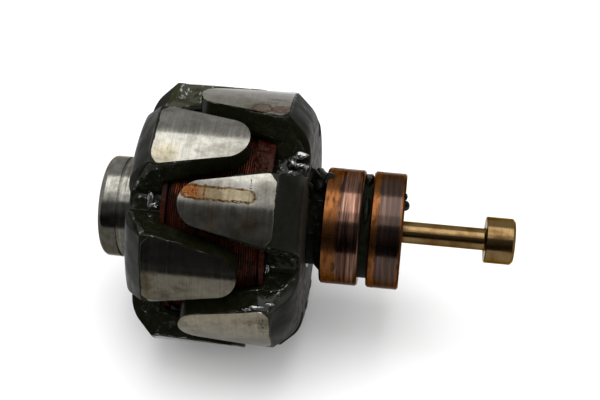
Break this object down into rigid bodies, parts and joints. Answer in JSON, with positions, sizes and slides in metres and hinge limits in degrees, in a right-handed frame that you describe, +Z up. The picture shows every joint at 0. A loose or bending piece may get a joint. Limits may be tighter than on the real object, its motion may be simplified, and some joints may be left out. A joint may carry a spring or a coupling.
{
  "type": "alternator rotor",
  "caption": "Claw-pole alternator rotor: interleaved steel claws over a field winding, on a taper-bored hub with copper slip rings and a loose clamp bolt.",
  "frame": {"origin": "centre of the hub's drive-end face, at the mouth of the taper bore", "axes": "+X along the shaft axis from the drive end towards the slip rings, +Z up, with the rotor lying on its side"},
  "size_m": [0.1155, 0.0734, 0.0734],
  "materials": {
    "hub_steel": "turned",
    "pole_steel": "turned faces, varnished forging",
    "pressboard": "varnished",
    "enamelled_wire": "enamelled copper under varnish",
    "insulator": "moulded",
    "copper": "worn",
    "solder": "varnished",
    "zinc_plate": "yellow zinc"
  },
  "bodies": {
    "rotor": {"hub_sleeve": "hub_steel", "pole_core": "hub_steel", "drive_end_claw_pole": "pole_steel", "ring_end_claw_pole": "pole_steel", "bobbin_tube": "pressboard", "drive_end_bobbin_flange": "pressboard", "ring_end_bobbin_flange": "pressboard", "field_winding": "enamelled_wire", "slip_ring_carrier": "insulator", "inner_slip_ring": "copper", "outer_slip_ring": "copper", "start_lead": "enamelled_wire", "finish_lead": "enamelled_wire", "start_lead_sleeve": "insulator", "finish_lead_sleeve": "insulator", "start_solder_joint": "solder", "finish_solder_joint": "solder"},
    "bolt": {"clamp_bolt": "zinc_plate"}
  },
  "joints": [
    {"name": "bolt_slide", "type": "slide", "parent": "rotor", "child": "bolt", "axis": [-1, 0, 0], "range_m": [0, 0.0232]}
  ]
}
